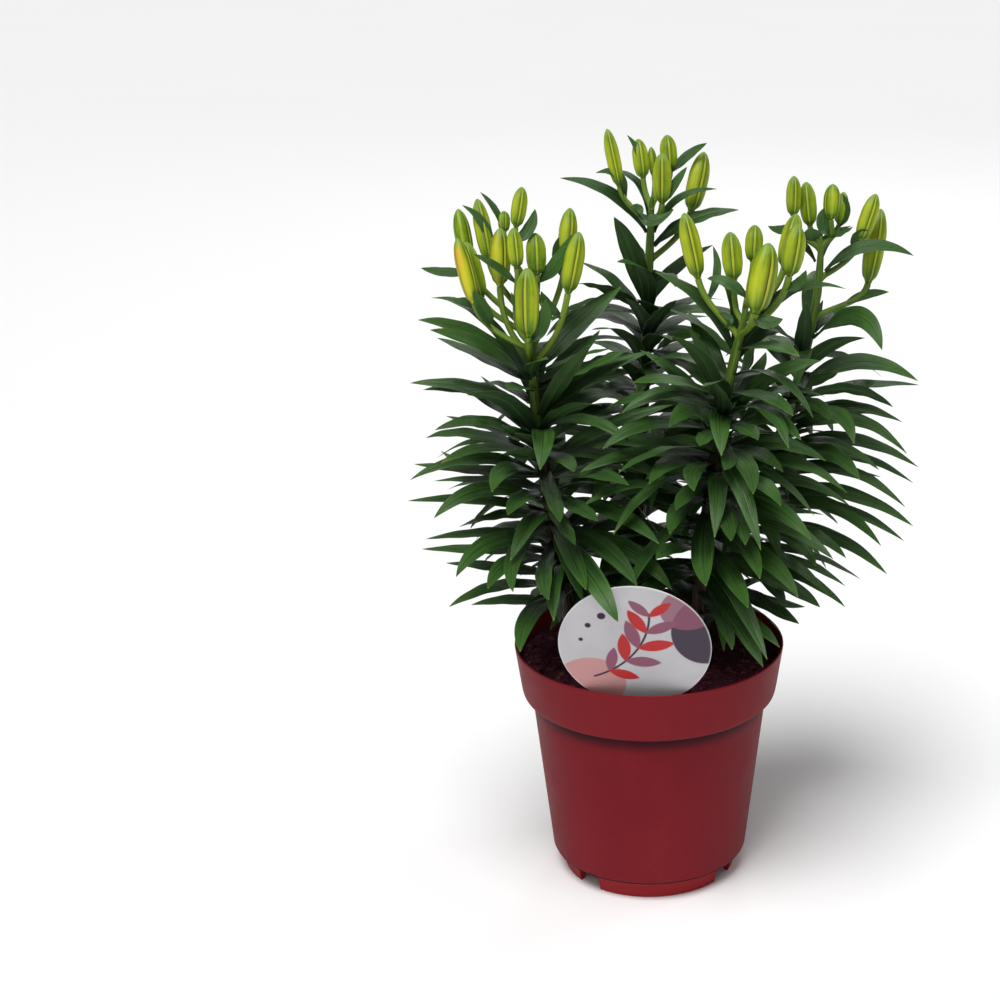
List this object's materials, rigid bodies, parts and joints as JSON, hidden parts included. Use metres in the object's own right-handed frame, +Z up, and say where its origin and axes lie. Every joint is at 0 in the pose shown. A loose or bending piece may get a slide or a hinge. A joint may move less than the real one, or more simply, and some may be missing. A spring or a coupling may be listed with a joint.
{
  "type": "potted lily plant in bud",
  "caption": "Lily plant in a tapered plastic grower's pot: leafy upright stems crowned with clusters of closed buds, potting soil, and a round card label leaning over the rim.",
  "frame": {"origin": "on the pot's axis, at the resting plane under the pot", "axes": "+Z up along the pot's axis, -Y towards the label and the viewer, +X to the viewer's right"},
  "size_m": [0.3191, 0.2455, 0.4701],
  "materials": {
    "pot_plastic": "satin",
    "soil": "matte",
    "label_card": "satin",
    "stem": "satin",
    "leaf": "satin",
    "bud": "satin"
  },
  "bodies": {
    "root": {"pot": "pot_plastic", "potting_soil": "soil", "care_label": "label_card", "stem_centre": "stem", "stem_front": "stem", "stem_left": "stem", "stem_right": "stem", "leaves_centre_1": "leaf", "leaves_centre_2": "leaf", "leaves_centre_3": "leaf", "leaves_centre_4": "leaf", "leaves_centre_5": "leaf", "leaves_front_1": "leaf", "leaves_front_2": "leaf", "leaves_front_3": "leaf", "leaves_front_4": "leaf", "leaves_front_5": "leaf", "leaves_front_6": "leaf", "leaves_left_1": "leaf", "leaves_left_2": "leaf", "leaves_left_3": "leaf", "leaves_left_4": "leaf", "leaves_left_5": "leaf", "leaves_left_6": "leaf", "leaves_right_1": "leaf", "leaves_right_2": "leaf", "leaves_right_3": "leaf", "leaves_right_4": "leaf", "leaves_right_5": "leaf", "leaves_right_6": "leaf", "bud_centre_front": "bud", "bud_centre_left_inner": "bud", "bud_centre_left_outer": "bud", "bud_centre_right_inner": "bud", "bud_centre_right_outer": "bud", "bud_centre_small": "bud", "bud_front_front_large": "bud", "bud_front_left_inner": "bud", "bud_front_left_outer": "bud", "bud_front_middle_back": "bud", "bud_front_right_back": "bud", "bud_front_right_outer": "bud", "bud_left_back_small": "bud", "bud_left_front_large": "bud", "bud_left_left_far": "bud", "bud_left_left_inner": "bud", "bud_left_left_outer": "bud", "bud_left_left_upper": "bud", "bud_left_middle_left": "bud", "bud_left_middle_right": "bud", "bud_left_middle_small": "bud", "bud_left_middle_upper": "bud", "bud_left_right_outer": "bud", "bud_left_right_upper": "bud", "bud_right_branch_lower": "bud", "bud_right_branch_upper": "bud", "bud_right_left_inner": "bud", "bud_right_left_upper": "bud", "bud_right_right_inner": "bud", "bud_right_small": "bud"}
  },
  "joints": []
}
